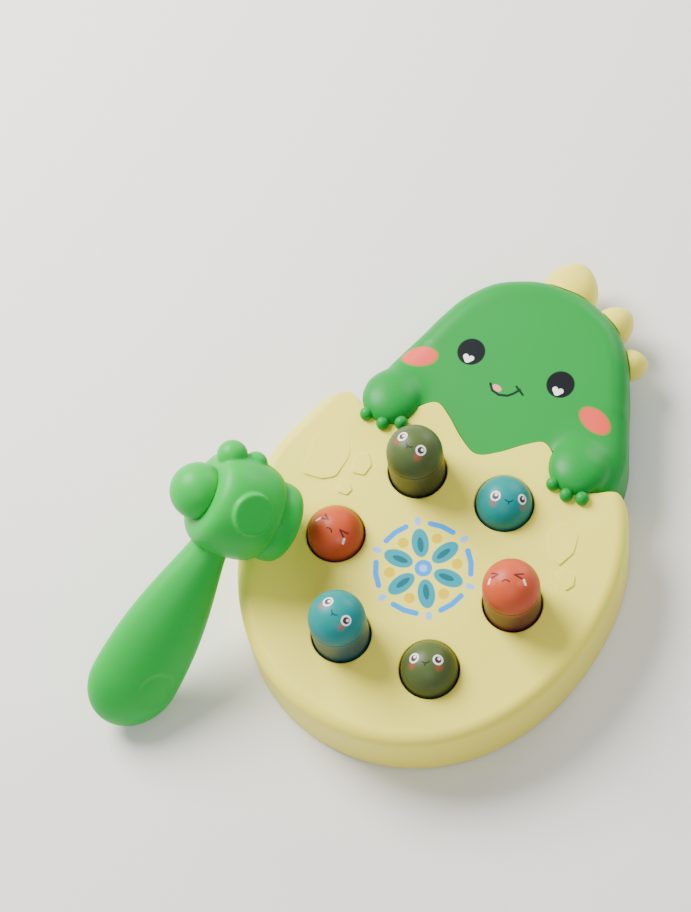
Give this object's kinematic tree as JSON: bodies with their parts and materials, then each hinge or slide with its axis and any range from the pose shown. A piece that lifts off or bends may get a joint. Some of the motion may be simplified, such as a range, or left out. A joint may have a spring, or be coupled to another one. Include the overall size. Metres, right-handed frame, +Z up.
{
  "type": "mole pounding game",
  "caption": "Egg shaped tabletop pounding game with a dinosaur head, domed moles that rise and sink in see-saw pairs, and a loose drum headed hammer.",
  "frame": {"origin": "middle of the ring of moles, on the table under the middle foot pad", "axes": "+Z up, +Y towards the dinosaur head, +X to the right when the dinosaur is seen the right way up"},
  "size_m": [0.2254, 0.318, 0.0987],
  "materials": {
    "cream_shell": "satin moulded cream plastic",
    "dino_green": "satin moulded green plastic",
    "lower_cream": "fine textured cream plastic",
    "inner_white": "plain natural white plastic",
    "steel": "bright zinc plated steel",
    "foot_rubber": "matt black soft rubber",
    "hammer_green": "satin moulded green plastic",
    "mole_olive": "smooth olive plastic with printed face",
    "mole_teal": "smooth teal plastic with printed face",
    "mole_orange": "smooth orange plastic with printed face"
  },
  "bodies": {
    "base": {"egg_shell": "cream_shell", "dino_head": "dino_green", "lower_shell": "lower_cream", "back_spike_large": "cream_shell", "back_spike_middle": "cream_shell", "back_spike_small": "cream_shell", "pivot_tower": "inner_white", "rocker_pin_olive": "steel", "rocker_pin_orange": "steel", "rocker_pin_teal": "steel", "shell_screw_1": "steel", "shell_screw_2": "steel", "shell_screw_3": "steel", "shell_screw_4": "steel", "shell_screw_5": "steel", "head_screw_1": "steel", "head_screw_2": "steel", "head_screw_3": "steel", "tower_screw_1": "steel", "tower_screw_2": "steel", "foot_pad_1": "foot_rubber", "foot_pad_2": "foot_rubber", "foot_pad_3": "foot_rubber", "foot_pad_4": "foot_rubber", "foot_pad_5": "foot_rubber"},
    "rocker_olive": {"rocker_olive": "inner_white"},
    "rocker_orange": {"rocker_orange": "inner_white"},
    "rocker_teal": {"rocker_teal": "inner_white"},
    "mole_olive_back_left": {"mole_cap_olive_back_left": "mole_olive", "mole_stem_olive_back_left": "inner_white"},
    "mole_teal_back_right": {"mole_cap_teal_back_right": "mole_teal", "mole_stem_teal_back_right": "inner_white"},
    "mole_orange_right": {"mole_cap_orange_right": "mole_orange", "mole_stem_orange_right": "inner_white"},
    "mole_olive_front_right": {"mole_cap_olive_front_right": "mole_olive", "mole_stem_olive_front_right": "inner_white"},
    "mole_teal_front_left": {"mole_cap_teal_front_left": "mole_teal", "mole_stem_teal_front_left": "inner_white"},
    "mole_orange_left": {"mole_cap_orange_left": "mole_orange", "mole_stem_orange_left": "inner_white"},
    "hammer": {"hammer_drum": "hammer_green", "hammer_striking_cap": "hammer_green", "hammer_dome_cap": "hammer_green", "hammer_handle": "hammer_green"}
  },
  "joints": [
    {"name": "rocker_olive_tilt", "type": "hinge", "parent": "base", "child": "rocker_olive", "pos_m": [0, 0, 0.011], "axis": [-0.8925, -0.451, 0], "range_deg": [0, 24.91]},
    {"name": "rocker_orange_tilt", "type": "hinge", "parent": "base", "child": "rocker_orange", "pos_m": [0, 0, 0.0205], "axis": [0, 1, 0], "range_deg": [0, 27.61]},
    {"name": "rocker_teal_tilt", "type": "hinge", "parent": "base", "child": "rocker_teal", "pos_m": [0, 0, 0.03], "axis": [0.8925, -0.451, 0], "range_deg": [0, 24.91]},
    {"name": "mole_olive_back_left_slide", "type": "slide", "parent": "base", "child": "mole_olive_back_left", "axis": [0, 0, 1], "range_m": [-0.0231, 0]},
    {"name": "mole_teal_back_right_slide", "type": "slide", "parent": "base", "child": "mole_teal_back_right", "axis": [0, 0, 1], "range_m": [0, 0.0231]},
    {"name": "mole_orange_right_slide", "type": "slide", "parent": "base", "child": "mole_orange_right", "axis": [0, 0, 1], "range_m": [-0.0231, 0]},
    {"name": "mole_olive_front_right_slide", "type": "slide", "parent": "base", "child": "mole_olive_front_right", "axis": [0, 0, 1], "range_m": [0, 0.0231]},
    {"name": "mole_teal_front_left_slide", "type": "slide", "parent": "base", "child": "mole_teal_front_left", "axis": [0, 0, 1], "range_m": [-0.0231, 0]},
    {"name": "mole_orange_left_slide", "type": "slide", "parent": "base", "child": "mole_orange_left", "axis": [0, 0, 1], "range_m": [0, 0.0231]},
    {"name": "hammer_lift", "type": "slide", "parent": "base", "child": "hammer", "axis": [0, 0, 1], "range_m": [0, 0.15]}
  ],
  "couplings": [
    {"joint": "mole_olive_back_left_slide", "follows": "rocker_olive_tilt", "m_per_rad": -0.052913},
    {"joint": "mole_teal_back_right_slide", "follows": "rocker_teal_tilt", "m_per_rad": 0.052913},
    {"joint": "mole_orange_right_slide", "follows": "rocker_orange_tilt", "m_per_rad": -0.047731},
    {"joint": "mole_olive_front_right_slide", "follows": "rocker_olive_tilt", "m_per_rad": 0.052913},
    {"joint": "mole_teal_front_left_slide", "follows": "rocker_teal_tilt", "m_per_rad": -0.052913},
    {"joint": "mole_orange_left_slide", "follows": "rocker_orange_tilt", "m_per_rad": 0.047731}
  ]
}
